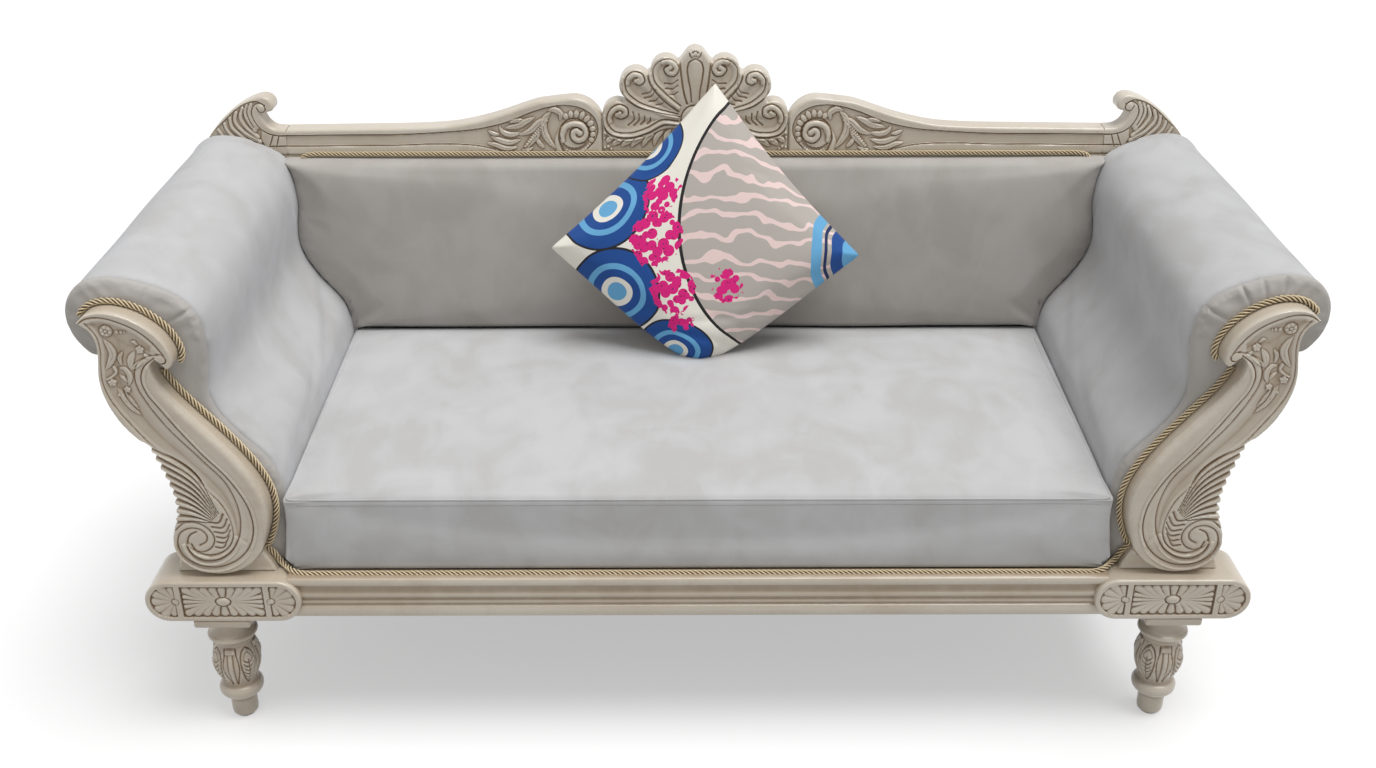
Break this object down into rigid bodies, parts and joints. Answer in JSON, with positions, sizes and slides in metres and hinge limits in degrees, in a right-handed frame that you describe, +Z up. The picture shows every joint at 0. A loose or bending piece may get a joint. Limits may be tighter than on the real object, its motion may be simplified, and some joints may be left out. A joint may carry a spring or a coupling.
{
  "type": "three-seat settee",
  "caption": "Classical settee with scrolled arms, carved limed wood crest, arm fronts and legs, tight velvet seat and back, rope trim and a loose scatter cushion.",
  "frame": {"origin": "on the floor, under the middle of the whole object's width and depth", "axes": "+Z up, +X to the right of someone who faces the settee, -Y towards that person, the front"},
  "size_m": [2.088, 0.8999, 1.027],
  "materials": {
    "show_wood": "cream limed paint with a brown antique glaze in the carving, satin",
    "frame_timber": "planed hardwood, unfinished",
    "velvet": "short-pile grey velvet",
    "rope": "twisted gold-beige cord",
    "webbing": "woven upholstery webbing",
    "dust_cloth": "thin black lining cloth",
    "cushion_cloth": "printed cotton",
    "glide": "moulded nylon"
  },
  "bodies": {
    "settee": {"front_rail": "show_wood", "corner_block_left": "show_wood", "corner_block_right": "show_wood", "front_leg_left": "show_wood", "front_leg_right": "show_wood", "rear_leg_left": "show_wood", "rear_leg_right": "show_wood", "arm_scroll_left": "show_wood", "arm_scroll_right": "show_wood", "arm_plinth_left": "show_wood", "arm_plinth_right": "show_wood", "crest_palmette": "show_wood", "crest_rail_left": "show_wood", "crest_rail_right": "show_wood", "crest_ear_left": "show_wood", "crest_ear_right": "show_wood", "side_rail_left": "frame_timber", "side_rail_right": "frame_timber", "rear_rail": "frame_timber", "seat_brace_left": "frame_timber", "seat_brace_right": "frame_timber", "glue_block_left": "frame_timber", "glue_block_right": "frame_timber", "arm_rib_left": "frame_timber", "arm_rib_right": "frame_timber", "arm_rail_left": "frame_timber", "arm_rail_right": "frame_timber", "back_post_left": "frame_timber", "back_post_right": "frame_timber", "back_lower_rail": "frame_timber", "back_top_rail": "frame_timber", "back_stile_left": "frame_timber", "back_stile_right": "frame_timber", "seat_pad": "velvet", "back_pad": "velvet", "back_outside": "velvet", "arm_pad_left": "velvet", "arm_pad_right": "velvet", "arm_border_left": "velvet", "arm_border_right": "velvet", "arm_outside_left": "velvet", "arm_outside_right": "velvet", "arm_rope_left": "rope", "arm_rope_right": "rope", "front_rope": "rope", "back_rope": "rope", "seat_web_1": "webbing", "seat_web_2": "webbing", "seat_web_3": "webbing", "seat_web_4": "webbing", "back_web_1": "webbing", "back_web_2": "webbing", "dust_cover": "dust_cloth", "glide_front_left": "glide", "glide_front_right": "glide", "glide_rear_left": "glide", "glide_rear_right": "glide"},
    "cushion": {"scatter_cushion": "cushion_cloth"}
  },
  "joints": [
    {"name": "scatter_cushion_lift", "type": "slide", "parent": "settee", "child": "cushion", "axis": [0, 0, 1], "range_m": [0, 0.6]}
  ]
}
